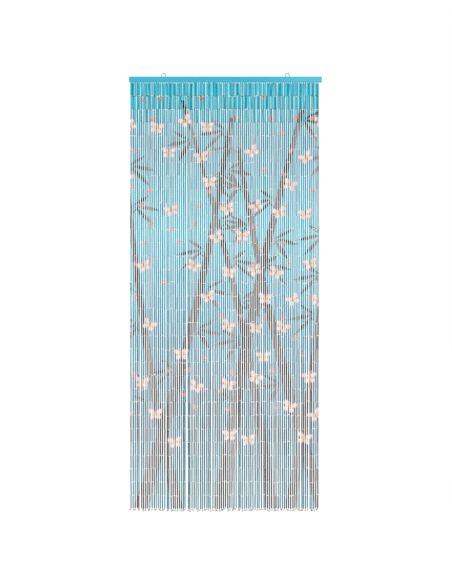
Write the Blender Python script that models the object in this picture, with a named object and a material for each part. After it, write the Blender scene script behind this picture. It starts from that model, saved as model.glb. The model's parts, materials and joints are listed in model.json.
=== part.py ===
"""Bamboo door curtain: ninety strands of painted bamboo tubes that hang from a wooden rail with two wire eyes.

Metres, +Z up, the front faces -Y. The origin is the centre of the rail's back face.
"""

import math
import random
from collections import namedtuple

import bmesh
import bpy
from mathutils import Vector

# Rail
RAIL_LENGTH = 0.900
RAIL_HEIGHT = 0.026
RAIL_DEPTH = 0.018
RAIL_EDGE = 0.0010
RAIL_TOP = RAIL_HEIGHT / 2
RAIL_UNDERSIDE = -RAIL_HEIGHT / 2
RAIL_MIDDLE_Y = -RAIL_DEPTH / 2

# Gap that pieces fitted into each other keep
FIT_GAP = 0.0003

# Strip that carries the strands, let into a groove in the rail's underside
STRIP_WIDTH = 0.0096
STRIP_HEIGHT = 0.004
STRIP_OVERHANG = 0.005

# Wire eyes for the wall hooks
EYE_X = 0.2885
EYE_WIRE = 0.0023
EYE_OUTER_WIDTH = 0.021
EYE_RISE = 0.0175
EYE_LEG_IN_WOOD = 0.010
EYE_ARC_STEPS = 14
HOLE_SIDES = 12

# Strands
STRAND_COUNT = 90
FIRST_STRAND_X = -0.4407
LAST_STRAND_X = 0.4323
STRAND_PITCH = (LAST_STRAND_X - FIRST_STRAND_X) / (STRAND_COUNT - 1)
ROOT_DROP = 0.0030
NECK_HALF = 0.0011
NECK_SHOULDER = 0.0010
TIP_DROP = 0.0125

# Tubes: those near the rail are thick and hang edge to edge, those below are thin and taper a little
Tube = namedtuple("Tube", "x y top bottom lean diameter")
ROWS = 32
THICK_DIAMETERS = (0.0092, 0.0086, 0.0074)
THIN_DIAMETER = 0.0065
FOOT_DIAMETER = 0.0056
DIAMETER_SPREAD = 0.05
TUBE_LENGTH_SPREAD = 0.0007

# How the thick and the thin tubes hang: a tube's length, the gap below it, and how far it is out of
# line sideways, in depth, and aslant from its middle to its ends
Hang = namedtuple("Hang", "length gap play play_in_depth lean")
THICK_HANG = Hang(0.0600, 0.0018, 0.0011, 0.0003, 0.0007)
THIN_HANG = Hang(0.0590, 0.0031, 0.0004, 0.0003, 0.0004)

# Neighbouring strands hang alternately a little behind and before the rail's middle
STAGGER = 0.0033

# How far a strand's foot strays from plumb, at random and, by strand, where the curtain has parted
DRIFT = 0.0006
WANDER = 0.0003
STRAYS = {
    4: -0.0026,
    17: 0.0028,
    26: -0.0034,
    27: 0.0034,
    38: -0.0030,
    51: 0.0028,
    63: 0.0030,
    81: 0.0034,
    85: 0.0030,
}
PLAN_SEED = 90

# The solid has the rows near the rail as separate tubes, and one long stretch below that bends at two rows
SEPARATE_ROWS = 3
BEND_ROWS = (12, 22)
SECTION_SIDES = 4

TURQUOISE = (0.051, 0.503, 0.645, 1.0)
DUSTY_BLUE = (0.085, 0.350, 0.440, 1.0)
STEEL = (0.560, 0.570, 0.580, 1.0)


def clear_scene():
    for obj in list(bpy.data.objects):
        bpy.data.objects.remove(obj)


def material(name, colour, roughness, metallic=0.0):
    made = bpy.data.materials.new(name)
    made.use_nodes = True
    shader = made.node_tree.nodes["Principled BSDF"]
    shader.inputs["Base Color"].default_value = colour
    shader.inputs["Roughness"].default_value = roughness
    shader.inputs["Metallic"].default_value = metallic
    return made


def mesh_object(name, bm, finish=None):
    """A scene object from a bmesh, with its faces turned outwards."""
    bmesh.ops.recalc_face_normals(bm, faces=bm.faces)
    mesh = bpy.data.meshes.new(name)
    bm.to_mesh(mesh)
    bm.free()
    obj = bpy.data.objects.new(name, mesh)
    bpy.context.scene.collection.objects.link(obj)
    if finish:
        mesh.materials.append(finish)
    return obj


def add_box(bm, low, high):
    """A box between two corners."""
    low, high = Vector(low), Vector(high)
    verts = bmesh.ops.create_cube(bm, size=1.0)["verts"]
    bmesh.ops.scale(bm, vec=high - low, verts=verts)
    bmesh.ops.translate(bm, vec=(low + high) / 2, verts=verts)


def tube_diameter(row):
    if row < len(THICK_DIAMETERS):
        return THICK_DIAMETERS[row]
    share = (row - len(THICK_DIAMETERS)) / (ROWS - 1 - len(THICK_DIAMETERS))
    return THIN_DIAMETER + (FOOT_DIAMETER - THIN_DIAMETER) * share


def tube_hang(row):
    return THICK_HANG if row < len(THICK_DIAMETERS) else THIN_HANG


def plan_strand(index, draw):
    """Where one strand's tubes hang, from the rail down."""
    root_x = FIRST_STRAND_X + index * STRAND_PITCH
    side = 1 if index % 2 else -1
    drift = STRAYS.get(index, draw.uniform(-DRIFT, DRIFT))
    phase = draw.uniform(0, math.tau)
    tubes = []
    top = RAIL_UNDERSIDE - ROOT_DROP
    for row in range(ROWS):
        share = (row + 0.5) / ROWS
        hang = tube_hang(row)
        wander = WANDER * math.sin(phase + math.tau * share)
        x = root_x + (drift + wander) * share + draw.uniform(-hang.play, hang.play)
        y = RAIL_MIDDLE_Y + side * STAGGER + draw.uniform(-hang.play_in_depth, hang.play_in_depth)
        bottom = top - hang.length + draw.uniform(-TUBE_LENGTH_SPREAD, TUBE_LENGTH_SPREAD)
        lean = draw.uniform(-hang.lean, hang.lean)
        diameter = tube_diameter(row) * (1 + draw.uniform(-DIAMETER_SPREAD, DIAMETER_SPREAD))
        tubes.append(Tube(x, y, top, bottom, lean, diameter))
        top = bottom - hang.gap
    return tubes


def plan_curtain():
    draw = random.Random(PLAN_SEED)
    return [plan_strand(index, draw) for index in range(STRAND_COUNT)]


def tube_top(tube):
    """A tube's upper section: (x, y, z, half width)."""
    return (tube.x + tube.lean, tube.y, tube.top, tube.diameter / 2)


def tube_bottom(tube):
    return (tube.x - tube.lean, tube.y, tube.bottom, tube.diameter / 2)


def neck_between(upper, lower):
    """The wire between two tubes: a thin section half way between their ends."""
    above = Vector(tube_bottom(upper)[:3])
    below = Vector(tube_top(lower)[:3])
    return (*((above + below) / 2), NECK_HALF)


def strand_sections(tubes):
    """The strand's sections from its root in the strip down to its last tube's foot."""
    first = tubes[0]
    found = [
        (first.x, first.y, RAIL_UNDERSIDE, NECK_HALF),
        (first.x + first.lean, first.y, first.top + NECK_SHOULDER, NECK_HALF),
    ]
    for upper, lower in zip(tubes[:SEPARATE_ROWS], tubes[1:]):
        found += [tube_top(upper), tube_bottom(upper), neck_between(upper, lower)]
    found.append(tube_top(tubes[SEPARATE_ROWS]))
    found += [tube_bottom(tubes[row]) for row in BEND_ROWS]
    found.append(tube_bottom(tubes[-1]))
    return found


def add_section(bm, x, y, z, half):
    """A square section set corner to the front. Its corners lie right, behind, left and in front."""
    corners = ((half, 0), (0, half), (-half, 0), (0, -half))
    return [bm.verts.new((x + dx, y + dy, z)) for dx, dy in corners]


def add_strand(bm, tubes):
    """One strand below the strip. Returns its root section, which the strip's underside joins."""
    sections = [add_section(bm, *values) for values in strand_sections(tubes)]
    sides = [(k, (k + 1) % SECTION_SIDES) for k in range(SECTION_SIDES)]
    for upper, lower in zip(sections, sections[1:]):
        for k, n in sides:
            bm.faces.new((upper[k], lower[k], lower[n], upper[n]))
    foot = sections[-1]
    last = tubes[-1]
    tip = bm.verts.new((last.x, last.y, last.bottom - TIP_DROP))
    for k, n in sides:
        bm.faces.new((foot[k], tip, foot[n]))
    return sections[0]


def strip_divisions():
    """The x positions that part the strip into a length for each strand, ends included."""
    first = FIRST_STRAND_X + STRAND_PITCH / 2
    inner = [first + k * STRAND_PITCH for k in range(STRAND_COUNT - 1)]
    return [FIRST_STRAND_X - STRIP_OVERHANG, *inner, LAST_STRAND_X + STRIP_OVERHANG]


def add_strip(bm, roots):
    """The strip in the rail's groove. Its underside closes round each strand's root."""
    top = RAIL_UNDERSIDE + STRIP_HEIGHT
    front = RAIL_MIDDLE_Y - STRIP_WIDTH / 2
    back = RAIL_MIDDLE_Y + STRIP_WIDTH / 2
    places = strip_divisions()
    low_front = [bm.verts.new((x, front, RAIL_UNDERSIDE)) for x in places]
    low_back = [bm.verts.new((x, back, RAIL_UNDERSIDE)) for x in places]
    top_front = [bm.verts.new((x, front, top)) for x in places]
    top_back = [bm.verts.new((x, back, top)) for x in places]
    for k, (right, behind, left, before) in enumerate(roots):
        a, b, c, d = low_front[k], low_front[k + 1], low_back[k + 1], low_back[k]
        for corner, start, end in ((before, a, b), (right, b, c), (behind, c, d), (left, d, a)):
            bm.faces.new((start, end, corner))
        for corner, start, end in ((a, left, before), (b, before, right), (c, right, behind), (d, behind, left)):
            bm.faces.new((start, corner, end))
        bm.faces.new((a, b, top_front[k + 1], top_front[k]))
        bm.faces.new((c, d, top_back[k], top_back[k + 1]))
        bm.faces.new((top_front[k], top_front[k + 1], top_back[k + 1], top_back[k]))
    for end in (0, -1):
        bm.faces.new((low_front[end], low_back[end], top_back[end], top_front[end]))


def build_strands(finish):
    bm = bmesh.new()
    roots = [add_strand(bm, tubes) for tubes in plan_curtain()]
    add_strip(bm, roots)
    return mesh_object("strands", bm, finish)


def eye_leg_x():
    """How far each of an eye's legs stands from the eye's middle."""
    return (EYE_OUTER_WIDTH - EYE_WIRE) / 2


def add_leg_hole(bm, x):
    depth = EYE_LEG_IN_WOOD + FIT_GAP + RAIL_EDGE
    radius = EYE_WIRE / 2 + FIT_GAP
    hole = bmesh.ops.create_cone(
        bm, cap_ends=True, segments=HOLE_SIDES, radius1=radius, radius2=radius, depth=depth
    )
    place = (x, RAIL_MIDDLE_Y, RAIL_TOP + RAIL_EDGE - depth / 2)
    bmesh.ops.translate(bm, vec=place, verts=hole["verts"])


def build_rail_cutter():
    """The groove for the strip and the four holes for the eyes' legs, as one hidden cutter."""
    bm = bmesh.new()
    groove_half = STRIP_WIDTH / 2 + FIT_GAP
    groove_left = FIRST_STRAND_X - STRIP_OVERHANG - FIT_GAP
    groove_right = LAST_STRAND_X + STRIP_OVERHANG + FIT_GAP
    groove_top = RAIL_UNDERSIDE + STRIP_HEIGHT + FIT_GAP
    add_box(
        bm,
        (groove_left, RAIL_MIDDLE_Y - groove_half, RAIL_UNDERSIDE - RAIL_EDGE),
        (groove_right, RAIL_MIDDLE_Y + groove_half, groove_top),
    )
    for eye_x in (-EYE_X, EYE_X):
        add_leg_hole(bm, eye_x - eye_leg_x())
        add_leg_hole(bm, eye_x + eye_leg_x())
    cutter = mesh_object("rail_cutter", bm)
    cutter.hide_render = True
    cutter.display_type = "WIRE"
    return cutter


def build_rail(finish):
    bm = bmesh.new()
    half = RAIL_LENGTH / 2
    add_box(bm, (-half, -RAIL_DEPTH, RAIL_UNDERSIDE), (half, 0, RAIL_TOP))
    bmesh.ops.bevel(bm, geom=bm.edges[:], offset=RAIL_EDGE, segments=1, affect="EDGES", profile=0.5)
    rail = mesh_object("rail", bm, finish)
    cut = rail.modifiers.new("groove and leg holes", "BOOLEAN")
    cut.operation = "DIFFERENCE"
    cut.object = build_rail_cutter()
    return rail


def build_eye(name, eye_x, finish):
    """A wire eye: a round arch on two straight legs that go down into the rail."""
    radius = eye_leg_x()
    spring_z = RAIL_TOP + EYE_RISE - EYE_OUTER_WIDTH / 2
    foot_z = RAIL_TOP - EYE_LEG_IN_WOOD
    angles = [math.pi * step / EYE_ARC_STEPS for step in range(EYE_ARC_STEPS + 1)]
    arch = [(eye_x + radius * math.cos(a), spring_z + radius * math.sin(a)) for a in angles]
    points = [(eye_x + radius, foot_z), *arch, (eye_x - radius, foot_z)]
    curve = bpy.data.curves.new(name, "CURVE")
    curve.dimensions = "3D"
    curve.bevel_depth = EYE_WIRE / 2
    curve.bevel_resolution = 2
    curve.use_fill_caps = True
    spline = curve.splines.new("POLY")
    spline.points.add(len(points) - 1)
    for point, (x, z) in zip(spline.points, points):
        point.co = (x, RAIL_MIDDLE_Y, z, 1)
    eye = bpy.data.objects.new(name, curve)
    bpy.context.scene.collection.objects.link(eye)
    curve.materials.append(finish)
    return eye


def main():
    clear_scene()
    rail_paint = material("rail_paint", TURQUOISE, 0.45)
    strand_paint = material("strand_paint", DUSTY_BLUE, 0.5)
    wire = material("wire", STEEL, 0.35, metallic=1.0)
    build_rail(rail_paint)
    build_eye("hanging_eye_left", -EYE_X, wire)
    build_eye("hanging_eye_right", EYE_X, wire)
    build_strands(strand_paint)


main()
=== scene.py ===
"""Looks of the bamboo door curtain: painted hollow tubes on wire links, under a painted wooden rail.

The tubes are painted with a generic design of bamboo canes, leaves and butterflies on a turquoise
ground. Metres, +Z up, the front faces -Y.
"""

import json
import math
import random
from collections import namedtuple

import bmesh
import bpy
from mathutils import Euler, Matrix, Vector

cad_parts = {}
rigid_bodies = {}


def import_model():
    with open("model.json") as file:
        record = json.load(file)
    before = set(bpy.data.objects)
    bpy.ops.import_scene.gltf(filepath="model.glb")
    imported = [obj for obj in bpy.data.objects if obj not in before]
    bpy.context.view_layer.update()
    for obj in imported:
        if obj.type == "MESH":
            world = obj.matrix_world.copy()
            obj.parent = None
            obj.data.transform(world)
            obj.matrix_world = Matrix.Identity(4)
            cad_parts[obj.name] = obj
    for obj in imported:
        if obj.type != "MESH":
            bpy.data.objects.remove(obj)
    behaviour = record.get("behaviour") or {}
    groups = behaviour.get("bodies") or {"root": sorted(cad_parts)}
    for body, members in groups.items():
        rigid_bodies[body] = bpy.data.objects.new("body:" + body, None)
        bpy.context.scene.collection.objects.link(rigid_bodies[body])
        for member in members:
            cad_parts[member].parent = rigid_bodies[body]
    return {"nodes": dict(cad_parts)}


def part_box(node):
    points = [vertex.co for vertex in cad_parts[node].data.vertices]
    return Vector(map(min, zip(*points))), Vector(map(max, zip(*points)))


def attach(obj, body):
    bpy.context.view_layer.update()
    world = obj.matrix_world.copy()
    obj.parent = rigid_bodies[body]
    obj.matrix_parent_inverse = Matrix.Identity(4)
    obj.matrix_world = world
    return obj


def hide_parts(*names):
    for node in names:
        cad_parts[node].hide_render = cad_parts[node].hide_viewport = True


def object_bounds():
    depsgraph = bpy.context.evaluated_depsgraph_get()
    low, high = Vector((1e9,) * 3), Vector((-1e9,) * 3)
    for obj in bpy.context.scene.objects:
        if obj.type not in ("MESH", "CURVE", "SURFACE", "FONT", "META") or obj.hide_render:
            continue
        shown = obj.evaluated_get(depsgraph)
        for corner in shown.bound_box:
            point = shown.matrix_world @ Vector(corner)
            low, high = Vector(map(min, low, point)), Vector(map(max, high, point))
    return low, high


# The body that the new pieces are fixed to
ROOT_BODY = "root"

# Corners that lie closer than this are merged
MERGE_DISTANCE = 0.00001

# Strands, as in the part
STRAND_COUNT = 90
FIRST_STRAND_X = -0.4407
LAST_STRAND_X = 0.4323
STRAND_PITCH = (LAST_STRAND_X - FIRST_STRAND_X) / (STRAND_COUNT - 1)
ROOT_DROP = 0.0030

# Tubes, as in the part
Tube = namedtuple("Tube", "x y top bottom lean diameter")
ROWS = 32
THICK_DIAMETERS = (0.0092, 0.0086, 0.0074)
THICK_ROWS = len(THICK_DIAMETERS)
THIN_DIAMETER = 0.0065
FOOT_DIAMETER = 0.0056
DIAMETER_SPREAD = 0.05
TUBE_LENGTH_SPREAD = 0.0007
Hang = namedtuple("Hang", "length gap play play_in_depth lean")
THICK_HANG = Hang(0.0600, 0.0018, 0.0011, 0.0003, 0.0007)
THIN_HANG = Hang(0.0590, 0.0031, 0.0004, 0.0003, 0.0004)

# Neighbouring strands hang alternately before and behind the rail's middle. By its foot each has drifted
# a little to one side, and it wanders on the way down. The strays have been pushed much further
STAGGER = 0.0033
DRIFT = 0.0006
WANDER = 0.0003
STRAYS = {
    4: -0.0026,
    17: 0.0028,
    26: -0.0034,
    27: 0.0034,
    38: -0.0030,
    51: 0.0028,
    63: 0.0030,
    81: 0.0034,
    85: 0.0030,
}
PLAN_SEED = 90

# Joints: most tubes have slipped along their wires until they nearly meet. Open joints are common between
# the thick tubes, rare below them, and grow common again towards the feet
CLOSED_JOINT = 0.0004
WIDEST_JOINT_SHARE = 1.3
WIDEST_THICK_JOINT_SHARE = 2.5
THICK_JOINT_RARITY = 2.4
THICK_JOINT_PLAY = 0.0024
UPPER_JOINT_RARITY = 7.0
LOWER_JOINT_RARITY = 2.7
ROOT_SLIP = 0.0010
LEAST_ROOT_SLIP = -0.0020
JOINT_SEED = 5

# Each joint gives a little under the tubes' weight, and half way down no two strands' joints are quite level
JOINT_SAG = 0.00009
JOINT_STRAY = 0.0065

# Tube walls, and how far the painted picture slips up or down from tube to tube
WALL_SHARE = 0.20
RIM = 0.00035
FINISH_SEED = 7
PAINT_SLIP = 0.0014

# A tube's edge is level where its ends differ in height by less than the first limit. A face is outside
# where its place, measured along its normal, is past the second
LEVEL_LIMIT = 0.00005
OUTSIDE_LIMIT = 0.0003

# The tubes are made in bands of rows, the thick ones with more sides
TubeBand = namedtuple("TubeBand", "name first last sides")
TUBE_BANDS = (
    TubeBand("tubes_thick", 0, THICK_ROWS, 10),
    TubeBand("tubes_upper", THICK_ROWS, 18, 8),
    TubeBand("tubes_lower", 18, ROWS, 8),
)

# Wire links, one above each row of tubes, made in bands of rows too. The thick and the thin kind each
# have a wire and a ring radius
LinkBand = namedtuple("LinkBand", "name first last wire radius")
THICK_LINK = (0.0011, 0.0015)
THIN_LINK = (0.0007, 0.0010)
LINK_BANDS = (
    LinkBand("links_thick", 0, 4, *THICK_LINK),
    LinkBand("links_upper", 4, 13, *THIN_LINK),
    LinkBand("links_middle", 13, 22, *THIN_LINK),
    LinkBand("links_lower", 22, ROWS, *THIN_LINK),
)
LINK_STEM = 0.0022
LINK_POINTS = 8
LINK_SIDES = 4
LINK_SWING = math.radians(18)
LINK_SEED = 11

# Wire hooks at the strands' feet
HOOK_WIRE = 0.0019
HOOK_RADIUS = 0.0027
HOOK_STEM = 0.0100
HOOK_IN_TUBE = 0.0020
HOOK_SWEEP = math.radians(250)
HOOK_POINTS = 14
HOOK_SIDES = 8
HOOK_TILT = math.radians(28)
HOOK_NOD = math.radians(10)
HOOK_SWING = math.radians(36)
HOOK_SEED = 23

# Strip in the rail's groove
STRIP_OVERHANG = 0.005
STRIP_HALF_WIDTH = 0.0048
SOCKET_RADIUS = 0.0011
SOCKET_DEPTH = 0.0016
SOCKET_SIDES = 8
FRONT_LEFT = -3 * math.pi / 4

# Wire eyes on the rail
EYE_ARC_STEPS = 36
EYE_WIRE_ROUNDNESS = 4

# Camera, from the photograph's frame
IMAGE_WIDTH = 452
IMAGE_HEIGHT = 584
METRES_PER_PIXEL = 0.004670
RAIL_CENTRE_PX = (225.45, 79.62)
CAMERA_DISTANCE = 10.0
SENSOR = 36.0
CURTAIN_MIDDLE_Y = -0.009
IMAGE_CENTRE = Vector(
    (
        (IMAGE_WIDTH / 2 - RAIL_CENTRE_PX[0]) * METRES_PER_PIXEL,
        CURTAIN_MIDDLE_Y,
        (RAIL_CENTRE_PX[1] - IMAGE_HEIGHT / 2) * METRES_PER_PIXEL,
    )
)

# Light
SKY_SEEN = 1.0
SKY_LIGHT = 0.52
KEY_STRENGTH = 2.25
KEY_SPREAD = math.radians(38)
KEY_FROM = Vector((-1.0, -1.25, 0.55))

# Floor
FLOOR_DROP = 0.06
FLOOR_SIZE = 60.0
FLOOR_WHITE = 0.12
FLOOR_GLOW = 0.91
FLOOR_ROUGHNESS = 0.9


def clear_startup_scene():
    for obj in list(bpy.data.objects):
        bpy.data.objects.remove(obj)


def link_object(name, data):
    obj = bpy.data.objects.new(name, data)
    bpy.context.scene.collection.objects.link(obj)
    return obj


def mesh_piece(name, bm, finish):
    """A scene object from a bmesh, with its faces turned outwards."""
    bmesh.ops.recalc_face_normals(bm, faces=bm.faces)
    mesh = bpy.data.meshes.new(name)
    bm.to_mesh(mesh)
    bm.free()
    mesh.materials.append(finish)
    return link_object(name, mesh)


def settle(piece, slot, *nodes):
    """Fixes a finished piece to the object's body and hides the nodes it stands for. The slot is not used.
    """
    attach(piece, ROOT_BODY)
    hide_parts(*nodes)


def srgb(red, green, blue):
    """A colour given in display values out of 255, made linear."""
    linear = []
    for value in (red, green, blue):
        share = value / 255
        linear.append(share / 12.92 if share <= 0.04045 else ((share + 0.055) / 1.055) ** 2.4)
    return (*linear, 1.0)


# Nodes written as expressions


def feed(tree, socket, value):
    """Links a wrapped socket to a node's input, or sets the input to a plain value."""
    if isinstance(value, Wire):
        tree.links.new(value.socket, socket)
    else:
        socket.default_value = value


def add_node(tree, kind, settings=None, sockets=None, output=0):
    """Adds a node, with its settings first and its sockets second. Returns one output, wrapped."""
    node = tree.nodes.new(kind)
    for name, value in (settings or {}).items():
        if name == "stops":
            set_stops(node.color_ramp, value)
        else:
            setattr(node, name, value)
    for key, value in (sockets or {}).items():
        feed(tree, node.inputs[key], value)
    return Wire(tree, node.outputs[output])


def set_stops(ramp, stops):
    """Gives a colour ramp its stops, each a (place, colour)."""
    while len(ramp.elements) < len(stops):
        ramp.elements.new(1.0)
    for element, (place, colour) in zip(ramp.elements, stops):
        element.position = place
        element.color = colour


class Wire:
    """An output socket of a node. Arithmetic on it adds Math nodes to its tree."""

    def __init__(self, tree, socket):
        self.tree = tree
        self.socket = socket

    def math(self, operation, *others, clamp=False):
        settings = {"operation": operation, "use_clamp": clamp}
        return add_node(self.tree, "ShaderNodeMath", settings, dict(enumerate((self, *others))))

    def also(self, output):
        """Another output of the same node."""
        return Wire(self.tree, self.socket.node.outputs[output])

    def parts(self):
        """A vector's three numbers."""
        split = add_node(self.tree, "ShaderNodeSeparateXYZ", sockets={0: self})
        return split, split.also("Y"), split.also("Z")

    def clamped(self):
        return self.math("MULTIPLY", 1.0, clamp=True)

    def __add__(self, other):
        return self.math("ADD", other)

    __radd__ = __add__

    def __mul__(self, other):
        return self.math("MULTIPLY", other)

    __rmul__ = __mul__

    def __sub__(self, other):
        return self.math("SUBTRACT", other)

    def __rsub__(self, other):
        return (self * -1.0).math("ADD", other)

    def __truediv__(self, other):
        return self.math("DIVIDE", other)

    def __abs__(self):
        return self.math("ABSOLUTE")


def vector(tree, x, y, z):
    return add_node(tree, "ShaderNodeCombineXYZ", sockets={"X": x, "Y": y, "Z": z})


def mix(tree, factor, base, top, blend="MIX"):
    """Lays a colour over another, as far as the factor says."""
    settings = {"data_type": "RGBA", "blend_type": blend}
    return add_node(tree, "ShaderNodeMix", settings, {0: factor, 6: base, 7: top}, output=2)


Noise = namedtuple("Noise", "scale detail roughness")


def noise(tree, place, kind):
    """A noise from 0 to 1 over a place. Its scale, per metre, is one number or one for each axis."""
    scale = kind.scale
    if isinstance(scale, tuple):
        place = add_node(tree, "ShaderNodeMapping", sockets={"Vector": place, "Scale": scale})
        scale = 1.0
    sockets = {"Vector": place, "Scale": scale, "Detail": kind.detail, "Roughness": kind.roughness}
    return add_node(tree, "ShaderNodeTexNoise", sockets=sockets)


def chances(tree, dimensions, x, y, z=0.0):
    """Three random numbers from 0 to 1 that stay the same for a whole cell."""
    settings = {"noise_dimensions": dimensions}
    sockets = {"Vector": vector(tree, x, y, z)}
    return add_node(tree, "ShaderNodeTexWhiteNoise", settings, sockets, output="Color").parts()


def between(value, low, high):
    """Goes from 0 to 1 as the value goes from low to high."""
    return ((value - low) / (high - low)).clamped()


def inside(distance, soft):
    """Goes from 1 to 0 where a distance passes zero."""
    return (0.5 - distance / soft).clamped()


def attribute(tree, name):
    return add_node(tree, "ShaderNodeAttribute", {"attribute_name": name}, output="Fac")


def object_place(tree):
    return add_node(tree, "ShaderNodeTexCoord", output="Object")


def new_material(name):
    """A material with its tree and its shader."""
    made = bpy.data.materials.new(name)
    made.use_nodes = True
    return made, made.node_tree, made.node_tree.nodes["Principled BSDF"]


Tint = namedtuple("Tint", "start full strength colour")


def lay(tree, colour, value, tint):
    """Lays a tint over a colour. It starts at one value and has its whole strength at another."""
    return mix(tree, between(value, tint.start, tint.full) * tint.strength, colour, tint.colour)


Relief = namedtuple("Relief", "roughness spread depth")


def roughen(tree, shader, texture, relief):
    """Makes a surface rougher and higher where its texture is strong. Depth is in metres."""
    feed(tree, shader.inputs["Roughness"], texture * relief.spread + relief.roughness)
    sockets = {"Distance": relief.depth, "Height": texture}
    feed(tree, shader.inputs["Normal"], add_node(tree, "ShaderNodeBump", sockets=sockets))


# Painted design: places are metres across from the left strand and up from the strands' feet

Cane = namedtuple("Cane", "foot_x top_x top width slim bow")
CANES = (
    Cane(0.220, -0.030, 1.66, 0.056, 0.018, -0.030),
    Cane(0.660, 0.240, 1.92, 0.060, 0.014, 0.050),
    Cane(0.740, 0.960, 1.80, 0.056, 0.018, 0.030),
    Cane(0.040, 0.470, 1.84, 0.074, 0.018, 0.040),
    Cane(0.900, 0.500, 1.70, 0.070, 0.020, -0.035),
    Cane(0.420, 0.800, 1.88, 0.084, 0.020, -0.040),
)
CANE_THINNING = 0.6
CANE_EDGE = 0.0035
CANE_SOFT = 0.0012
CANE_JOINT_PITCH = 0.186
CANE_JOINT_SHIFT = 0.37
CANE_JOINT_RING = 0.0045
CANE_JOINT_SWELL = 0.10

# How much of a cane's lightness comes from its roundness, and how much from the tone of each tube
CANE_ROUND_SHARE = 0.45
CANE_TONE_SHARE = 0.55

# Leaves grow in sprays from a cane's joints: a twig, and leaves that start beside it
Leaf = namedtuple("Leaf", "out up angle length half_width")
LEAVES = (
    Leaf(0.012, 0.030, math.radians(-48), 0.125, 0.0088),
    Leaf(0.016, 0.034, math.radians(-12), 0.118, 0.0084),
    Leaf(0.010, 0.036, math.radians(30), 0.088, 0.0076),
)
TWIG_RISE = 0.9
TWIG_START = -0.004
TWIG_END = 0.036
TWIG_HALF_WIDTH = 0.0030
SPRAY_SHARE = 0.74
SPRAY_LOWEST = 0.52
LEAF_SOFT = 0.0010

# Butterflies are scattered, one to a cell at the most
Scatter = namedtuple("Scatter", "cell_x cell_z share half_span seed low high")
BUTTERFLIES = Scatter(0.126, 0.134, 0.47, 0.0340, 3.5, 0.30, 1.93)
MOTHS = Scatter(0.094, 0.086, 0.34, 0.0140, 8.5, 0.45, 1.95)
SCATTER_PLAY = 0.36
SCATTER_TURN = math.radians(70)

# A butterfly's right half and its body, in half spans from its middle
Ellipse = namedtuple("Ellipse", "middle_u middle_v radius_u radius_v turn")
FORE_WING = Ellipse(0.54, 0.34, 0.56, 0.36, math.radians(34))
HIND_WING = Ellipse(0.40, -0.36, 0.42, 0.36, math.radians(-38))
WING_PATCH = Ellipse(0.12, 0.02, 0.26, 0.24, 0.0)
BODY = Ellipse(0.0, 0.02, 0.10, 0.44, 0.0)
WING_EDGE_INSET = 0.09
WING_EDGE_HALF_WIDTH = 0.10
WING_SOFT = 0.10

INK = srgb(12, 11, 16)
CANE_DARK = srgb(8, 7, 10)
CANE_LIGHT = srgb(34, 30, 32)
LEAF_INK = srgb(12, 16, 22)
WING_WHITE = srgb(218, 208, 200)
WING_PINK = srgb(190, 48, 100)
BODY_YELLOW = srgb(210, 176, 56)
BODY_ORANGE = srgb(180, 96, 44)

# The ground's colour, from the strands' feet up
GROUND_STOPS = (
    (0.00, srgb(72, 132, 142)),
    (0.09, srgb(34, 116, 134)),
    (0.18, srgb(2, 94, 114)),
    (0.27, srgb(0, 104, 124)),
    (0.47, srgb(6, 152, 176)),
    (0.66, srgb(54, 186, 204)),
    (0.86, srgb(6, 144, 166)),
    (0.955, srgb(44, 184, 202)),
    (1.00, srgb(34, 184, 204)),
)
GROUND_PALE = srgb(92, 198, 212)
GROUND_BLUE = srgb(30, 96, 150)

# Changes in the ground: pale clouds across the strands, paler and darker tubes, and blue streaks down
# them that fade upwards
CLOUDS = Noise(3.2, 2.0, 0.5)
CLOUD_TINT = Tint(0.48, 0.78, 0.14, GROUND_PALE)
PALE_TUBE_TINT = Tint(0.0, 1.0, 0.42, GROUND_PALE)
DARK_TUBE_STRENGTH = 0.22
STREAKS = Noise((90.0, 0.0, 2.0), 2.0, 0.5)
STREAK_START = 0.50
STREAK_FULL = 0.75
STREAK_STRENGTH = 0.36
STREAK_FADE = 0.30


def ellipse(u, v, form):
    """How far a point lies from an ellipse's edge, as a share of its radius. Negative is inside."""
    du = u - form.middle_u
    dv = v - form.middle_v
    cosine = math.cos(form.turn)
    sine = math.sin(form.turn)
    along = (du * cosine + dv * sine) / form.radius_u
    across = (dv * cosine - du * sine) / form.radius_v
    return (along * along + across * across).math("SQRT") - 1.0


def scattered(tree, x, z, plan):
    """Where a point lies on its cell's motif: u and v in half spans, and whether one is there."""
    row = (z / plan.cell_z).math("FLOOR")
    shift = row.math("FLOORED_MODULO", 2.0) * 0.5
    column_place = x / plan.cell_x + shift
    column = column_place.math("FLOOR")
    chance_x, chance_z, chance_turn = chances(tree, "3D", column, row, plan.seed)
    chance_there, _, _ = chances(tree, "3D", column, row, plan.seed + 1.0)
    du = (column_place - column - 0.5 - (chance_x - 0.5) * SCATTER_PLAY) * plan.cell_x
    dv = (z / plan.cell_z - row - 0.5 - (chance_z - 0.5) * SCATTER_PLAY) * plan.cell_z
    turn = (chance_turn - 0.5) * SCATTER_TURN
    cosine = turn.math("COSINE") / plan.half_span
    sine = turn.math("SINE") / plan.half_span
    u = du * cosine + dv * sine
    v = dv * cosine - du * sine
    middle_z = (row + 0.5) * plan.cell_z
    within = middle_z.math("GREATER_THAN", plan.low) * middle_z.math("LESS_THAN", plan.high)
    return u, v, chance_there.math("LESS_THAN", plan.share) * within


def butterfly(u, v):
    """Masks of a butterfly that spans -1 to 1: its wings, their edge, the patch by its body, its body."""
    side = abs(u)
    wing = ellipse(side, v, FORE_WING).math("MINIMUM", ellipse(side, v, HIND_WING))
    edge = abs(wing + WING_EDGE_INSET) - WING_EDGE_HALF_WIDTH
    patch = ellipse(side, v, WING_PATCH)
    body = ellipse(side, v, BODY)
    return (inside(form, WING_SOFT) for form in (wing, edge, patch, body))


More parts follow.
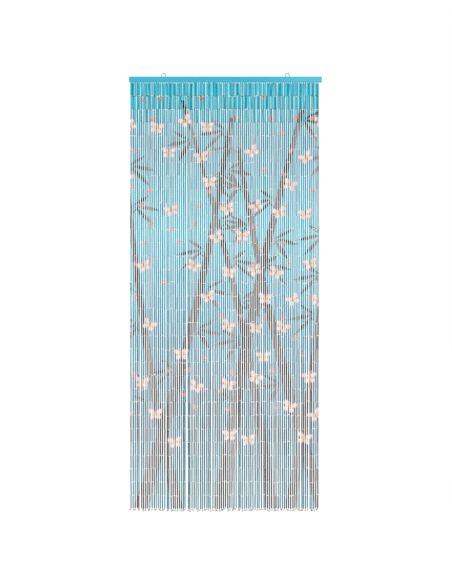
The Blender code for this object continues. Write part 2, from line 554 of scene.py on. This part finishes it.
def butterfly_layer(tree, colour, x, z, plan, wing_colour, edge_colour):
    """Lays scattered butterflies over the colour so far."""
    u, v, there = scattered(tree, x, z, plan)
    wing, edge, patch, body = butterfly(u, v)
    colour = mix(tree, wing * there, colour, wing_colour)
    colour = mix(tree, edge * wing * there, colour, edge_colour)
    colour = mix(tree, patch * there, colour, BODY_YELLOW)
    return mix(tree, body * there, colour, BODY_ORANGE)


def cane_place(x, z, cane):
    """How far right of a cane's middle line a point lies, and the cane's half width there."""
    share = z / cane.top
    middle = cane.foot_x + (cane.top_x - cane.foot_x) * share
    middle = middle + (share * math.pi).math("SINE") * cane.bow
    half = (cane.width + (cane.slim - cane.width) * share.math("POWER", CANE_THINNING)) * 0.5
    return x - middle, half


def leaf(out, up, form):
    """Mask of one leaf, from its place beside a cane's joint."""
    du = out - form.out
    dv = up - form.up
    cosine = math.cos(form.angle) / form.length
    sine = math.sin(form.angle) / form.length
    along = du * cosine + dv * sine
    across = abs(dv * cosine - du * sine) * form.length
    bulge = along * (1.0 - along) * (4.0 * form.half_width)
    return inside(across - bulge, LEAF_SOFT)


def leaf_spray(out, up):
    """Mask of a twig and its leaves, from a place beside a cane's joint."""
    reach = out.math("GREATER_THAN", TWIG_START) * out.math("LESS_THAN", TWIG_END)
    spray = inside(abs(up - out * TWIG_RISE) - TWIG_HALF_WIDTH, LEAF_SOFT) * reach
    for form in LEAVES:
        spray = spray.math("MAXIMUM", leaf(out, up, form))
    return spray


def cane_layer(tree, colour, x, z, number, cane, lift):
    """Lays one cane with its joints, twigs and leaves over the colour so far."""
    across, half = cane_place(x, z, cane)
    joint_count = z / CANE_JOINT_PITCH + number * CANE_JOINT_SHIFT
    joint = joint_count.math("FLOOR")
    up = (joint_count - joint - 0.5) * CANE_JOINT_PITCH
    ring = inside(abs(up) - CANE_JOINT_RING * 0.5, CANE_SOFT)
    side = abs(across)
    tall = inside(z - cane.top, CANE_SOFT)

    rim = side - half * (1.0 + ring * CANE_JOINT_SWELL)
    body = inside(rim, CANE_SOFT) * tall
    roundness = 1.0 - (side / half).math("POWER", 2.0)
    lightness = (roundness * CANE_ROUND_SHARE + lift * CANE_TONE_SHARE).clamped()
    colour = mix(tree, body, colour, mix(tree, lightness, CANE_DARK, CANE_LIGHT))
    outline = inside(abs(rim + CANE_EDGE * 0.5) - CANE_EDGE * 0.5, CANE_SOFT) * tall
    colour = mix(tree, outline.math("MAXIMUM", ring * body), colour, INK)

    chance_side, chance_there, _ = chances(tree, "2D", joint, number + 0.5)
    facing = chance_side.math("GREATER_THAN", 0.5) * 2.0 - 1.0
    there = chance_there.math("LESS_THAN", SPRAY_SHARE) * z.math("GREATER_THAN", SPRAY_LOWEST)
    there = there * z.math("LESS_THAN", cane.top)
    return mix(tree, leaf_spray(across * facing - half, up) * there, colour, LEAF_INK)


def painted_colour(tree, place, tone, slip):
    """The colour of the painted tubes at a place on the curtain."""
    curtain_low, curtain_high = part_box("strands")
    height = curtain_high.z - curtain_low.z
    place_x, _, place_z = place.parts()
    x = place_x - FIRST_STRAND_X
    z = place_z - curtain_low.z + slip
    share = z / height
    ground = add_node(tree, "ShaderNodeValToRGB", {"stops": GROUND_STOPS}, {"Fac": share})
    colour = lay(tree, ground, noise(tree, place, CLOUDS), CLOUD_TINT)
    colour = lay(tree, colour, tone, PALE_TUBE_TINT)
    streak = between(noise(tree, place, STREAKS), STREAK_START, STREAK_FULL)
    colour = mix(tree, streak * (STREAK_STRENGTH - share * STREAK_FADE), colour, GROUND_BLUE)
    lift = between(tone, -1.0, 1.0)
    for number, cane in enumerate(CANES):
        colour = cane_layer(tree, colour, x, z, number, cane, lift)
    colour = butterfly_layer(tree, colour, x, z, MOTHS, WING_PINK, WING_WHITE)
    return butterfly_layer(tree, colour, x, z, BUTTERFLIES, WING_WHITE, WING_PINK)


# Finishes

# Paint on the tubes: fibres along each, painted shade at the thick tubes' joints, and bare wood where the
# rims and the cut ends have lost their paint, darkened as painted shade at the joints. Places along a tube
# go from -0.5 to 0.5
FIBRES = Noise((900.0, 900.0, 16.0), 3.0, 0.6)
FIBRE_PALE = Tint(0.56, 0.82, 0.10, srgb(120, 200, 212))
FIBRE_DARK = Tint(0.46, 0.20, 0.24, srgb(8, 52, 64))
# Painted shade: a dark band at the thick tubes' ends, where their joints lie in shadow
JOINT_SHADE_NOISE = Noise(150.0, 0.0, 0.5)
JOINT_SHADE_PLAY = 0.20
JOINT_SHADE_TINT = Tint(0.498, 0.508, 0.9, srgb(8, 34, 42))
WEAR = Noise(900.0, 2.0, 0.5)
WEAR_PLAY = 0.012
# Bare rims: worn paint, in a band wide enough to read as painted shade at the joints
WEAR_AND_SHADE_START = 0.488
WEAR_AND_SHADE_FULL = 0.498
WEAR_AND_SHADE_STRENGTH = 0.6
# Bare wood, darker than cut bamboo, as painted shade at the joints
BARE_WOOD_SHADE_DARK = srgb(58, 52, 38)
BARE_WOOD_SHADE_LIGHT = srgb(112, 98, 70)
BAMBOO_RELIEF = Relief(0.46, 0.22, 0.00006)
BAMBOO_SPECULAR = 0.12

# Paint on the rail: paler at the right, a little darker and greener by its long edges as painted shade,
# clouded, with the wood's grain in it, and thin at the sawn ends
RAIL_BLUE = srgb(20, 165, 190)
RAIL_RIGHT = Tint(0.14, 0.43, 1.0, srgb(70, 182, 203))
RAIL_EDGE_SHADE = Tint(0.006, 0.011, 0.5, srgb(24, 160, 168))
RAIL_CLOUDS = Noise(7.0, 2.0, 0.5)
RAIL_CLOUD_TINT = Tint(0.0, 1.0, 0.25, srgb(24, 156, 184))
RAIL_GRAIN = Noise((9.0, 420.0, 420.0), 4.0, 0.6)
RAIL_GRAIN_PALE = Tint(0.55, 0.85, 0.30, srgb(104, 190, 206))
RAIL_GRAIN_DARK = Tint(0.45, 0.20, 0.25, srgb(16, 106, 130))
RAIL_END_PLAY = 0.0016
RAIL_END_TINT = Tint(-0.0016, -0.0004, 0.55, srgb(150, 184, 178))
RAIL_RELIEF = Relief(0.34, 0.22, 0.00015)

# Steel wire, each bright colour with its dull one
LINK_STEEL = (srgb(54, 53, 56), srgb(30, 29, 31))
HOOK_STEEL = (srgb(72, 64, 70), srgb(44, 38, 42))
EYE_STEEL = (srgb(74, 77, 79), srgb(44, 45, 46))
WIRE_PATCHES = Noise(260.0, 3.0, 0.65)
DULL_START = 0.40
DULL_FULL = 0.70
PLATING_OFF_START = 0.50
PLATING_OFF_FULL = 0.80
PLATING_OFF_STRENGTH = 0.35
WIRE_RELIEF = Relief(0.22, 0.35, 0.00004)


def painted_bamboo():
    """Matt paint on bamboo, with the painted picture and a tone of its own on each tube."""
    made, tree, shader = new_material("painted_bamboo")
    place = object_place(tree)
    tone = attribute(tree, "tone")
    colour = painted_colour(tree, place, tone, attribute(tree, "slip"))

    shade = tone.math("MINIMUM", 0.0) * DARK_TUBE_STRENGTH + 1.0
    colour = mix(tree, 1.0, colour, vector(tree, shade, shade, shade), blend="MULTIPLY")
    fibre = noise(tree, place, FIBRES)
    colour = lay(tree, colour, fibre, FIBRE_PALE)
    colour = lay(tree, colour, fibre, FIBRE_DARK)

    _, _, place_z = place.parts()
    from_middle = abs(attribute(tree, "along"))
    thick_rows_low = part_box("rail")[0].z - THICK_ROWS * (THICK_HANG.length + THICK_HANG.gap)
    # Painted shade at the thick tubes' joints: a dark band at their ends, with a ragged edge
    near_end = from_middle + (noise(tree, place, JOINT_SHADE_NOISE) - 0.5) * JOINT_SHADE_PLAY
    joint_shade = near_end * place_z.math("GREATER_THAN", thick_rows_low)
    colour = lay(tree, colour, joint_shade, JOINT_SHADE_TINT)

    # Bare wood where the rims and cut ends lost their paint, darkened and widened as painted shade at the
    # joints
    worn = noise(tree, place, WEAR)
    rim = between(from_middle + (worn - 0.5) * WEAR_PLAY, WEAR_AND_SHADE_START, WEAR_AND_SHADE_FULL) * WEAR_AND_SHADE_STRENGTH
    bare_and_shaded_wood = mix(tree, worn, BARE_WOOD_SHADE_DARK, BARE_WOOD_SHADE_LIGHT)
    colour = mix(tree, rim.math("MAXIMUM", attribute(tree, "cut")), colour, bare_and_shaded_wood)
    feed(tree, shader.inputs["Base Color"], colour)
    shader.inputs["Specular IOR Level"].default_value = BAMBOO_SPECULAR
    roughen(tree, shader, fibre, BAMBOO_RELIEF)
    return made


def rail_paint():
    """Satin paint on a planed lath, with grain along it and thinner paint by its sawn ends."""
    made, tree, shader = new_material("rail_paint_finish")
    place = object_place(tree)
    across, _, up = place.parts()
    colour = lay(tree, RAIL_BLUE, across, RAIL_RIGHT)
    # Painted shade along the rail's long, eased edges
    colour = lay(tree, colour, abs(up), RAIL_EDGE_SHADE)
    colour = lay(tree, colour, noise(tree, place, RAIL_CLOUDS), RAIL_CLOUD_TINT)
    grain = noise(tree, place, RAIL_GRAIN)
    colour = lay(tree, colour, grain, RAIL_GRAIN_PALE)
    colour = lay(tree, colour, grain, RAIL_GRAIN_DARK)
    _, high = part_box("rail")
    past_end = abs(across) - high.x + (grain - 0.5) * RAIL_END_PLAY
    colour = lay(tree, colour, past_end, RAIL_END_TINT)
    feed(tree, shader.inputs["Base Color"], colour)
    roughen(tree, shader, grain, RAIL_RELIEF)
    return made


def wire_metal(name, bright, dull):
    """Drawn steel wire: grey, with duller patches where its plating has gone off."""
    made, tree, shader = new_material(name)
    patches = noise(tree, object_place(tree), WIRE_PATCHES)
    colour = mix(tree, between(patches, DULL_START, DULL_FULL), bright, dull)
    lost = between(patches, PLATING_OFF_START, PLATING_OFF_FULL) * PLATING_OFF_STRENGTH
    feed(tree, shader.inputs["Base Color"], colour)
    feed(tree, shader.inputs["Metallic"], 1.0 - lost)
    roughen(tree, shader, patches, WIRE_RELIEF)
    return made


# Where the tubes hang, by the same rule as the part


def tube_diameter(row):
    if row < THICK_ROWS:
        return THICK_DIAMETERS[row]
    share = (row - THICK_ROWS) / (ROWS - 1 - THICK_ROWS)
    return THIN_DIAMETER + (FOOT_DIAMETER - THIN_DIAMETER) * share


def tube_hang(row):
    return THICK_HANG if row < THICK_ROWS else THIN_HANG


def plan_strand(index, draw, rail_underside, middle_y):
    """Where one strand's tubes hang, from the rail down."""
    root_x = FIRST_STRAND_X + index * STRAND_PITCH
    side = 1 if index % 2 else -1
    drift = STRAYS.get(index, draw.uniform(-DRIFT, DRIFT))
    phase = draw.uniform(0, math.tau)
    tubes = []
    top = rail_underside - ROOT_DROP
    for row in range(ROWS):
        share = (row + 0.5) / ROWS
        hang = tube_hang(row)
        wander = WANDER * math.sin(phase + math.tau * share)
        x = root_x + (drift + wander) * share + draw.uniform(-hang.play, hang.play)
        y = middle_y + side * STAGGER + draw.uniform(-hang.play_in_depth, hang.play_in_depth)
        bottom = top - hang.length + draw.uniform(-TUBE_LENGTH_SPREAD, TUBE_LENGTH_SPREAD)
        lean = draw.uniform(-hang.lean, hang.lean)
        diameter = tube_diameter(row) * (1 + draw.uniform(-DIAMETER_SPREAD, DIAMETER_SPREAD))
        tubes.append(Tube(x, y, top, bottom, lean, diameter))
        top = bottom - hang.gap
    return tubes


def joint_habit(row):
    """How far the joint above a row can open, as a share of its usual gap, and how seldom it does.
    At a rarity of 1 every width is as likely as any other, and a higher one makes wide joints rarer."""
    if row < THICK_ROWS:
        return WIDEST_THICK_JOINT_SHARE, THICK_JOINT_RARITY
    rarity = UPPER_JOINT_RARITY + (LOWER_JOINT_RARITY - UPPER_JOINT_RARITY) * row / ROWS
    return WIDEST_JOINT_SHARE, rarity


def slip_together(tubes, draw):
    """The same strand, a little stretched and out of step, with most of its joints nearly closed."""
    stray = draw.uniform(-JOINT_STRAY, JOINT_STRAY)
    slipped = []
    for row, tube in enumerate(tubes):
        shift = stray * math.sin(math.pi * row / ROWS) ** 2 - JOINT_SAG * row
        slipped.append(tube._replace(top=tube.top + shift, bottom=tube.bottom + shift))
    slipped[0] = slipped[0]._replace(top=slipped[0].top + draw.uniform(LEAST_ROOT_SLIP, ROOT_SLIP))
    for row in range(1, ROWS):
        above = slipped[row - 1]
        below = slipped[row]
        gap = above.bottom - below.top
        widest_share, rarity = joint_habit(row)
        widest = gap * widest_share
        left_open = CLOSED_JOINT + (widest - CLOSED_JOINT) * draw.random() ** rarity
        play = abs(gap - left_open) + (THICK_JOINT_PLAY if row <= THICK_ROWS else 0.0)
        middle = (above.bottom + below.top) / 2 + draw.uniform(-0.5, 0.5) * play
        slipped[row - 1] = above._replace(bottom=middle + left_open / 2)
        slipped[row] = below._replace(top=middle - left_open / 2)
    return slipped


def plan_curtain():
    low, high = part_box("rail")
    middle_y = (low.y + high.y) / 2
    draw = random.Random(PLAN_SEED)
    hung = [plan_strand(index, draw, low.z, middle_y) for index in range(STRAND_COUNT)]
    draw = random.Random(JOINT_SEED)
    return [slip_together(tubes, draw) for tubes in hung]


def tube_top(tube):
    """The middle of a tube's upper end."""
    return Vector((tube.x + tube.lean, tube.y, tube.top))


def tube_bottom(tube):
    return Vector((tube.x - tube.lean, tube.y, tube.bottom))


# Geometry node trees


def new_tree(name, inputs):
    """A tree that works on points, its inputs given as (name, socket kind), and its wrapped inputs."""
    tree = bpy.data.node_groups.new(name, "GeometryNodeTree")
    tree.interface.new_socket("Points", in_out="INPUT", socket_type="NodeSocketGeometry")
    for label, kind in inputs:
        tree.interface.new_socket(label, in_out="INPUT", socket_type=kind)
    tree.interface.new_socket("Geometry", in_out="OUTPUT", socket_type="NodeSocketGeometry")
    group = tree.nodes.new("NodeGroupInput")
    wires = {socket.name: Wire(tree, socket) for socket in group.outputs if socket.name}
    return tree, wires


def named(tree, name):
    """A named vector of the points that a tree works on."""
    settings = {"data_type": "FLOAT_VECTOR"}
    return add_node(tree, "GeometryNodeInputNamedAttribute", settings, {"Name": name})


def end_tree(tree, wires, shape, scale):
    """Puts a shape on every point, makes it real and gives it its material."""
    sockets = {
        "Points": wires["Points"],
        "Instance": shape,
        "Rotation": named(tree, "turn"),
        "Scale": scale,
    }
    copies = add_node(tree, "GeometryNodeInstanceOnPoints", sockets=sockets)
    real = add_node(tree, "GeometryNodeRealizeInstances", sockets={"Geometry": copies})
    sockets = {"Geometry": real, "Material": wires["Material"]}
    finished = add_node(tree, "GeometryNodeSetMaterial", sockets=sockets)
    out = tree.nodes.new("NodeGroupOutput")
    feed(tree, out.inputs[0], finished)


def wall_profile(tree, wires):
    """The section of a tube's wall, its outer corners cut off. +X is the outside."""
    sockets = {"Width": wires["Wall"], "Height": wires["Length"]}
    wall = add_node(tree, "GeometryNodeCurvePrimitiveQuadrilateral", sockets=sockets)
    corner_x, _, _ = add_node(tree, "GeometryNodeInputPosition").parts()
    ease = corner_x.math("GREATER_THAN", 0.0) * wires["Rim"]
    sockets = {"Curve": wall, "Count": 1, "Radius": ease}
    return add_node(tree, "GeometryNodeFilletCurve", {"mode": "POLY"}, sockets)


def sharp_rings(tree, tube):
    """Makes a tube's level edges sharp, so that it shades round but its ends stay crisp."""
    ends = add_node(tree, "GeometryNodeInputMeshEdgeVertices", output="Position 1")
    _, _, first_z = ends.parts()
    _, _, second_z = ends.also("Position 2").parts()
    level = abs(first_z - second_z).math("LESS_THAN", LEVEL_LIMIT)
    sockets = {"Geometry": tube, "Selection": level, "Shade Smooth": False}
    return add_node(tree, "GeometryNodeSetShadeSmooth", {"domain": "EDGE"}, sockets)


def store(tree, shape, domain, name, value):
    settings = {"data_type": "FLOAT", "domain": domain}
    sockets = {"Geometry": shape, "Name": name, "Value": value}
    return add_node(tree, "GeometryNodeStoreNamedAttribute", settings, sockets)


def tube_tree():
    """Hollow tubes with eased rims. Each face knows whether it is cut, each point how far along it lies."""
    inputs = (
        ("Length", "NodeSocketFloat"),
        ("Diameter", "NodeSocketFloat"),
        ("Wall", "NodeSocketFloat"),
        ("Rim", "NodeSocketFloat"),
        ("Sides", "NodeSocketInt"),
        ("Material", "NodeSocketMaterial"),
    )
    tree, wires = new_tree("bamboo tubes", inputs)
    middle_radius = (wires["Diameter"] - wires["Wall"]) * 0.5
    sockets = {"Resolution": wires["Sides"], "Radius": middle_radius}
    ring = add_node(tree, "GeometryNodeCurvePrimitiveCircle", sockets=sockets)
    sockets = {"Curve": ring, "Profile Curve": wall_profile(tree, wires)}
    swept = add_node(tree, "GeometryNodeCurveToMesh", sockets=sockets)
    sockets = {"Geometry": swept, "Distance": MERGE_DISTANCE}
    tube = sharp_rings(tree, add_node(tree, "GeometryNodeMergeByDistance", sockets=sockets))

    place_x, place_y, place_z = add_node(tree, "GeometryNodeInputPosition").parts()
    normal_x, normal_y, _ = add_node(tree, "GeometryNodeInputNormal").parts()
    outward = place_x * normal_x + place_y * normal_y
    tube = store(tree, tube, "FACE", "cut", outward.math("LESS_THAN", OUTSIDE_LIMIT))
    tube = store(tree, tube, "POINT", "along", place_z / wires["Length"])
    end_tree(tree, wires, tube, named(tree, "stretch"))
    return tree


def wire_tree(name, hooked):
    """Bent wire ends: a straight stem, and below it a ring or, where hooked is true, a hook."""
    inputs = (
        ("Bend Radius", "NodeSocketFloat"),
        ("Sweep", "NodeSocketFloat"),
        ("Stem", "NodeSocketFloat"),
        ("Wire", "NodeSocketFloat"),
        ("Points Round", "NodeSocketInt"),
        ("Sides", "NodeSocketInt"),
        ("Material", "NodeSocketMaterial"),
    )
    tree, wires = new_tree(name, inputs)
    radius = wires["Bend Radius"]
    sockets = {"Resolution": wires["Points Round"], "Radius": radius}
    if hooked:
        sockets["Sweep Angle"] = wires["Sweep"] * -1.0
        bend = add_node(tree, "GeometryNodeCurveArc", {"mode": "RADIUS"}, sockets)
        stem_x, stem_low = radius, 0.0
    else:
        bend = add_node(tree, "GeometryNodeCurvePrimitiveCircle", sockets=sockets)
        stem_x, stem_low = 0.0, radius
    sockets = {"Geometry": bend, "Rotation": Euler((math.pi / 2, 0.0, 0.0))}
    upright = add_node(tree, "GeometryNodeTransform", sockets=sockets)
    sockets = {
        "Start": vector(tree, stem_x, 0.0, stem_low),
        "End": vector(tree, stem_x, 0.0, wires["Stem"] + stem_low),
    }
    stem = add_node(tree, "GeometryNodeCurvePrimitiveLine", sockets=sockets)
    both = tree.nodes.new("GeometryNodeJoinGeometry")
    feed(tree, both.inputs[0], stem)
    feed(tree, both.inputs[0], upright)
    sockets = {"Resolution": wires["Sides"], "Radius": wires["Wire"] * 0.5}
    section = add_node(tree, "GeometryNodeCurvePrimitiveCircle", sockets=sockets)
    sockets = {"Curve": Wire(tree, both.outputs[0]), "Profile Curve": section, "Fill Caps": True}
    end_tree(tree, wires, add_node(tree, "GeometryNodeCurveToMesh", sockets=sockets), (1.0, 1.0, 1.0))
    return tree


# Points that the trees work on


def point_mesh(name, places, vectors, numbers):
    """A mesh of loose points with named vectors and numbers on them."""
    mesh = bpy.data.meshes.new(name)
    mesh.from_pydata(places, [], [])
    for label, values in vectors.items():
        stored = mesh.attributes.new(label, "FLOAT_VECTOR", "POINT")
        stored.data.foreach_set("vector", [number for value in values for number in value])
    for label, values in numbers.items():
        stored = mesh.attributes.new(label, "FLOAT", "POINT")
        stored.data.foreach_set("value", values)
    return mesh


def grow(name, tree, points, values):
    """Runs a tree on a mesh of points and keeps what it makes as a plain mesh."""
    piece = link_object(name, points)
    modifier = piece.modifiers.new(name, "NODES")
    modifier.node_group = tree
    for socket in tree.interface.items_tree:
        if socket.in_out == "INPUT" and socket.name in values:
            modifier[socket.identifier] = values[socket.name]
    evaluated = piece.evaluated_get(bpy.context.evaluated_depsgraph_get())
    made = bpy.data.meshes.new_from_object(evaluated)
    piece.modifiers.remove(modifier)
    piece.data = made
    return piece


# Pieces


def build_tubes(plan, finish):
    tree = tube_tree()
    draw = random.Random(FINISH_SEED)
    for band in TUBE_BANDS:
        places = []
        vectors = {"turn": [], "stretch": []}
        numbers = {"tone": [], "slip": []}
        for tubes in plan:
            for tube in tubes[band.first : band.last]:
                top = tube_top(tube)
                bottom = tube_bottom(tube)
                tilt = math.atan2(top.x - bottom.x, top.z - bottom.z)
                width = tube.diameter / THIN_DIAMETER
                places.append((top + bottom) / 2)
                vectors["turn"].append((0.0, tilt, draw.uniform(0, math.tau)))
                vectors["stretch"].append((width, width, (top - bottom).length / THIN_HANG.length))
                numbers["tone"].append(draw.triangular(-1.0, 1.0, 0.0))
                numbers["slip"].append(draw.uniform(-PAINT_SLIP, PAINT_SLIP))
        values = {
            "Length": THIN_HANG.length,
            "Diameter": THIN_DIAMETER,
            "Wall": THIN_DIAMETER * WALL_SHARE,
            "Rim": RIM,
            "Sides": band.sides,
            "Material": finish,
        }
        piece = grow(band.name, tree, point_mesh(band.name, places, vectors, numbers), values)
        settle(piece, "strand_paint", "strands")


def joint_ends(index, tubes, row, rail_underside):
    """The two ends that a strand's link above one of its tubes joins: the one above, the one below."""
    if row:
        return tube_bottom(tubes[row - 1]), tube_top(tubes[row])
    root = Vector((FIRST_STRAND_X + index * STRAND_PITCH, tubes[0].y, rail_underside))
    return root, tube_top(tubes[0])


def build_links(plan, finish):
    """Two wire rings at each joint, one through the other, each on a stem that goes into its tube."""
    rail_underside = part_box("rail")[0].z
    draw = random.Random(LINK_SEED)
    tree = wire_tree("wire links", hooked=False)
    for band in LINK_BANDS:
        reach = band.radius - band.wire / 2
        places = []
        turns = []
        for index, tubes in enumerate(plan):
            for row in range(band.first, band.last):
                above, below = joint_ends(index, tubes, row, rail_underside)
                down = (below - above).normalized()
                yaw = draw.uniform(-LINK_SWING, LINK_SWING) + draw.choice((0.0, math.pi / 2))
                for axis, turn in ((-down, yaw), (down, yaw + math.pi / 2)):
                    places.append((above + below) / 2 + axis * reach)
                    facing = axis.to_track_quat("Z", "Y") @ Euler((0.0, 0.0, turn)).to_quaternion()
                    turns.append(facing.to_euler())
        values = {
            "Bend Radius": band.radius,
            "Stem": LINK_STEM,
            "Wire": band.wire,
            "Points Round": LINK_POINTS,
            "Sides": LINK_SIDES,
            "Material": finish,
        }
        points = point_mesh(band.name, places, {"turn": turns}, {})
        settle(grow(band.name, tree, points, values), "wire", "strands")


def build_hooks(plan, finish):
    """The bent wire end that closes each strand below its last tube."""
    draw = random.Random(HOOK_SEED)
    places = []
    turns = []
    stem_place = Vector((HOOK_RADIUS, 0.0, HOOK_STEM - HOOK_IN_TUBE))
    for tubes in plan:
        tilt = Euler((draw.uniform(-HOOK_NOD, HOOK_NOD), draw.uniform(-HOOK_TILT, HOOK_TILT), 0.0))
        yaw = draw.choice((0.0, math.pi)) + draw.uniform(-HOOK_SWING, HOOK_SWING)
        facing = tilt.to_quaternion() @ Euler((0.0, 0.0, yaw)).to_quaternion()
        places.append(tube_bottom(tubes[-1]) - facing @ stem_place)
        turns.append(facing.to_euler())
    values = {
        "Bend Radius": HOOK_RADIUS,
        "Sweep": HOOK_SWEEP,
        "Stem": HOOK_STEM,
        "Wire": HOOK_WIRE,
        "Points Round": HOOK_POINTS,
        "Sides": HOOK_SIDES,
        "Material": finish,
    }
    points = point_mesh("foot_hooks", places, {"turn": turns}, {})
    tree = wire_tree("wire hooks", hooked=True)
    settle(grow("foot_hooks", tree, points, values), "wire", "strands")


def socket_ring(bm, x, y, z):
    """A round socket's edge, from the corner nearest front left, as a ring of points."""
    ring = []
    for step in range(SOCKET_SIDES):
        angle = FRONT_LEFT + math.tau * (step + 0.5) / SOCKET_SIDES
        place = (x + SOCKET_RADIUS * math.cos(angle), y + SOCKET_RADIUS * math.sin(angle), z)
        ring.append(bm.verts.new(place))
    return ring


def add_strip_length(bm, low_corner, high_corner, socket_x, socket_y):
    """One strand's length of the strip: three plain sides and an underside with a round socket."""
    left, front, underside = low_corner
    right, back, top = high_corner
    corners = ((left, front), (right, front), (right, back), (left, back))
    low = [bm.verts.new((x, y, underside)) for x, y in corners]
    high = [bm.verts.new((x, y, top)) for x, y in corners]
    bm.faces.new((low[0], low[1], high[1], high[0]))
    bm.faces.new((low[2], low[3], high[3], high[2]))
    bm.faces.new(high)
    mouth = socket_ring(bm, socket_x, socket_y, underside)
    bottom = socket_ring(bm, socket_x, socket_y, underside + SOCKET_DEPTH)
    per_side = SOCKET_SIDES // len(low)
    for side, start in enumerate(low):
        end = low[(side + 1) % len(low)]
        first = side * per_side
        arc = mouth[first : first + per_side]
        bm.faces.new((start, end, *reversed(arc)))
        bm.faces.new((end, mouth[(first + per_side) % SOCKET_SIDES], arc[-1]))
    for k in range(SOCKET_SIDES):
        n = (k + 1) % SOCKET_SIDES
        bm.faces.new((mouth[k], mouth[n], bottom[n], bottom[k]))
    bm.faces.new(bottom)


def build_strip(plan, finish):
    """The strip in the rail's groove, with a small socket round each strand's wire."""
    rail_low, rail_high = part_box("rail")
    _, strip_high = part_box("strands")
    middle_y = (rail_low.y + rail_high.y) / 2
    front = middle_y - STRIP_HALF_WIDTH
    back = middle_y + STRIP_HALF_WIDTH
    strand_places = [FIRST_STRAND_X + k * STRAND_PITCH for k in range(STRAND_COUNT)]
    inner = [x + STRAND_PITCH / 2 for x in strand_places[:-1]]
    divisions = [FIRST_STRAND_X - STRIP_OVERHANG, *inner, LAST_STRAND_X + STRIP_OVERHANG]
    bm = bmesh.new()
    for tubes, x, left, right in zip(plan, strand_places, divisions, divisions[1:]):
        low_corner = (left, front, rail_low.z)
        high_corner = (right, back, strip_high.z)
        add_strip_length(bm, low_corner, high_corner, x, tubes[0].y)
    bmesh.ops.remove_doubles(bm, verts=bm.verts, dist=MERGE_DISTANCE)
    open_edges = [edge for edge in bm.edges if edge.is_boundary]
    bmesh.ops.edgeloop_fill(bm, edges=open_edges)
    settle(mesh_piece("strip", bm, finish), "rail_paint", "strands")


def build_eye(name, finish):
    """A hanging eye in round wire: an arch on two legs, with the sizes of its node."""
    low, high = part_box(name)
    wire = high.y - low.y
    middle_x = (low.x + high.x) / 2
    middle_y = (low.y + high.y) / 2
    radius = (high.x - low.x - wire) / 2
    spring_z = high.z - wire / 2 - radius
    angles = [math.pi * step / EYE_ARC_STEPS for step in range(EYE_ARC_STEPS + 1)]
    arch = [(middle_x + radius * math.cos(a), spring_z + radius * math.sin(a)) for a in angles]
    points = [(middle_x + radius, low.z), *arch, (middle_x - radius, low.z)]
    curve = bpy.data.curves.new(name, "CURVE")
    curve.dimensions = "3D"
    curve.bevel_depth = wire / 2
    curve.bevel_resolution = EYE_WIRE_ROUNDNESS
    curve.use_fill_caps = True
    spline = curve.splines.new("POLY")
    spline.points.add(len(points) - 1)
    for point, (x, z) in zip(spline.points, points):
        point.co = (x, middle_y, z, 1)
    curve_object = link_object(name + "_curve", curve)
    evaluated = curve_object.evaluated_get(bpy.context.evaluated_depsgraph_get())
    mesh = bpy.data.meshes.new_from_object(evaluated)
    bpy.data.objects.remove(curve_object)
    mesh.materials.clear()
    mesh.materials.append(finish)
    mesh.shade_smooth()
    settle(link_object(name + "_wire", mesh), "wire", name)


# Stage


def build_floor(low_z):
    """A wide floor just below the strands' feet, as white as the backdrop."""
    made, _, shader = new_material("floor_white")
    shader.inputs["Base Color"].default_value = (FLOOR_WHITE, FLOOR_WHITE, FLOOR_WHITE, 1.0)
    shader.inputs["Roughness"].default_value = FLOOR_ROUGHNESS
    shader.inputs["Emission Color"].default_value = (1.0, 1.0, 1.0, 1.0)
    shader.inputs["Emission Strength"].default_value = FLOOR_GLOW
    bm = bmesh.new()
    grid = bmesh.ops.create_grid(bm, x_segments=1, y_segments=1, size=FLOOR_SIZE / 2)
    bmesh.ops.translate(bm, vec=(0.0, 0.0, low_z - FLOOR_DROP), verts=grid["verts"])
    mesh_piece("floor", bm, made)


def build_sky():
    """A white backdrop. It lights the curtain less than it shows, so that the tubes keep their shading."""
    world = bpy.data.worlds.new("studio")
    bpy.context.scene.world = world
    world.use_nodes = True
    tree = world.node_tree
    seen = add_node(tree, "ShaderNodeLightPath", output="Is Camera Ray")
    background = tree.nodes["Background"]
    background.inputs["Color"].default_value = (1.0, 1.0, 1.0, 1.0)
    feed(tree, background.inputs["Strength"], seen * (SKY_SEEN - SKY_LIGHT) + SKY_LIGHT)


def build_key_light():
    """A broad soft lamp far off at the upper left in front."""
    lamp = bpy.data.lights.new("key", "SUN")
    lamp.energy = KEY_STRENGTH
    lamp.angle = KEY_SPREAD
    key = link_object("key", lamp)
    key.rotation_euler = (-KEY_FROM).to_track_quat("-Z", "Y").to_euler()


def build_camera():
    """The photograph's view: square on, and level with the middle of the picture."""
    data = bpy.data.cameras.new("camera")
    data.sensor_width = SENSOR
    data.lens = SENSOR * CAMERA_DISTANCE / (IMAGE_HEIGHT * METRES_PER_PIXEL)
    camera = link_object("camera", data)
    camera.location = IMAGE_CENTRE - Vector((0.0, CAMERA_DISTANCE, 0.0))
    camera.rotation_euler = (math.pi / 2, 0.0, 0.0)
    bpy.context.scene.camera = camera


def main():
    clear_startup_scene()
    bpy.context.scene.view_settings.view_transform = "Standard"
    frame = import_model()
    cad_low, cad_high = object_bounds()
    build_camera()
    build_sky()
    build_key_light()
    build_floor(cad_low.z)

    plan = plan_curtain()
    link_steel = wire_metal("link_wire", *LINK_STEEL)
    eye_steel = wire_metal("eye_wire", *EYE_STEEL)
    rail_finish = rail_paint()
    rail_materials = frame["nodes"]["rail"].data.materials
    rail_materials.clear()
    rail_materials.append(rail_finish)
    build_tubes(plan, painted_bamboo())
    build_links(plan, link_steel)
    build_hooks(plan, wire_metal("hook_wire", *HOOK_STEEL))
    build_strip(plan, rail_finish)
    build_eye("hanging_eye_left", eye_steel)
    build_eye("hanging_eye_right", eye_steel)


main()
